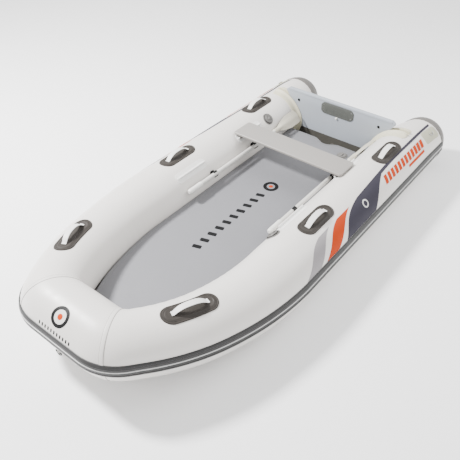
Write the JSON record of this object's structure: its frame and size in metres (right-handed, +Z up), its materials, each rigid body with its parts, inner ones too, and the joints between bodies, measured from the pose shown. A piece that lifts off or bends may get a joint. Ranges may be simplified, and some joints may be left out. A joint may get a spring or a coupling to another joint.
{
  "type": "inflatable dinghy",
  "caption": "Inflatable dinghy with an air deck, a board transom for an outboard motor, a sliding bench seat, carrying handles and oars stowed along its sides.",
  "frame": {"origin": "bottom centre of the bounding box, on the ground under the middle of the boat", "axes": "+X to the bow, +Y to port, +Z up"},
  "size_m": [3.3, 1.5578, 0.4964],
  "materials": {
    "tube_fabric": "smooth coated fabric, satin",
    "cap_plastic": "moulded, fine texture",
    "strake_rubber": "extruded rubber, satin",
    "strake_line": "extruded rubber, satin",
    "deck_fabric": "coated drop-stitch fabric, matte",
    "transom_paint": "plywood with a smooth light grey coat",
    "seal_rubber": "coated fabric strip, matte",
    "holder_rubber": "moulded flexible, matte",
    "motor_pad": "moulded, ribbed",
    "steel": "brushed stainless",
    "white_plastic": "moulded, satin",
    "black_plastic": "moulded, satin",
    "seat_wood": "plywood with a smooth warm grey coat",
    "slider_plastic": "moulded, satin",
    "white_rubber": "moulded flexible, matte",
    "pad_rubber": "moulded flexible, matte",
    "blade_plastic": "moulded, satin"
  },
  "bodies": {
    "hull": {"port_tube": "tube_fabric", "starboard_tube": "tube_fabric", "bow_tube": "tube_fabric", "port_bow_seam": "tube_fabric", "starboard_bow_seam": "tube_fabric", "port_stern_cap": "cap_plastic", "starboard_stern_cap": "cap_plastic", "rub_strake": "strake_rubber", "rub_strake_line": "strake_line", "bottom_skin": "tube_fabric", "keel_tube": "tube_fabric", "air_deck": "deck_fabric", "deck_valve_body": "cap_plastic", "transom_board": "transom_paint", "transom_top_trim": "transom_paint", "transom_seal_strip": "seal_rubber", "port_transom_holder": "holder_rubber", "starboard_transom_holder": "holder_rubber", "motor_pad_inner": "motor_pad", "motor_pad_outer": "motor_pad", "motor_pad_screws": "steel", "lanyard_knob": "white_plastic", "transom_eye_bolts": "black_plastic", "drain_valve_body": "cap_plastic", "seat_rail_patches": "white_rubber", "seat_rails": "white_plastic", "port_handle_pads": "pad_rubber", "starboard_handle_pads": "pad_rubber", "port_strap_fore": "white_rubber", "port_strap_mid": "white_rubber", "port_strap_aft": "white_rubber", "starboard_strap_fore": "white_rubber", "starboard_strap_mid": "white_rubber", "starboard_strap_aft": "white_rubber", "port_valve_body": "cap_plastic", "starboard_valve_body": "cap_plastic", "port_clip_fore": "black_plastic", "port_clip_aft": "black_plastic", "starboard_clip_fore": "black_plastic", "starboard_clip_aft": "black_plastic", "stern_ring_patches": "holder_rubber", "bow_ring_patch": "tube_fabric"},
    "seat": {"seat_board": "seat_wood", "seat_sliders": "slider_plastic"},
    "port_oar": {"port_oar_shaft": "white_plastic", "port_oar_grip": "white_plastic", "port_oar_blade": "blade_plastic"},
    "starboard_oar": {"starboard_oar_shaft": "white_plastic", "starboard_oar_grip": "white_plastic", "starboard_oar_blade": "blade_plastic"},
    "port_valve_cap": {"port_valve_cap": "cap_plastic"},
    "starboard_valve_cap": {"starboard_valve_cap": "cap_plastic"},
    "deck_valve_cap": {"deck_valve_cap": "cap_plastic"},
    "drain_plug": {"drain_plug": "black_plastic"},
    "port_stern_ring": {"port_stern_ring": "steel"},
    "starboard_stern_ring": {"starboard_stern_ring": "steel"},
    "bow_ring": {"bow_ring": "black_plastic"}
  },
  "joints": [
    {"name": "seat_slide", "type": "slide", "parent": "hull", "child": "seat", "axis": [1, 0, 0], "range_m": [-0.095, 0.01]},
    {"name": "port_oar_slide", "type": "slide", "parent": "hull", "child": "port_oar", "axis": [1, 0, 0], "range_m": [-0.03, 0.22]},
    {"name": "starboard_oar_slide", "type": "slide", "parent": "hull", "child": "starboard_oar", "axis": [1, 0, 0], "range_m": [-0.03, 0.22]},
    {"name": "port_valve_turn", "type": "hinge", "parent": "hull", "child": "port_valve_cap", "pos_m": [0.316, 0.41948, 0.36606], "axis": [0, -0.6691, 0.7431], "range_deg": [0, 90]},
    {"name": "starboard_valve_turn", "type": "hinge", "parent": "hull", "child": "starboard_valve_cap", "pos_m": [-0.807, -0.41948, 0.36606], "axis": [0, 0.6691, 0.7431], "range_deg": [0, 90]},
    {"name": "deck_valve_turn", "type": "hinge", "parent": "hull", "child": "deck_valve_cap", "pos_m": [-0.933, 0.203, 0.203], "axis": [0, 0, 1], "range_deg": [0, 90]},
    {"name": "drain_plug_pull", "type": "slide", "parent": "hull", "child": "drain_plug", "axis": [-1, 0, 0], "range_m": [0, 0.03]},
    {"name": "port_stern_ring_swing", "type": "hinge", "parent": "hull", "child": "port_stern_ring", "pos_m": [-1.38, 0.69157, 0.37767], "axis": [1, 0, 0], "range_deg": [0, 150]},
    {"name": "starboard_stern_ring_swing", "type": "hinge", "parent": "hull", "child": "starboard_stern_ring", "pos_m": [-1.38, -0.69157, 0.37767], "axis": [-1, 0, 0], "range_deg": [0, 150]},
    {"name": "bow_ring_swing", "type": "hinge", "parent": "hull", "child": "bow_ring", "pos_m": [1.6322, 0, 0.24557], "axis": [0, -1, 0], "range_deg": [-20, 90]}
  ]
}
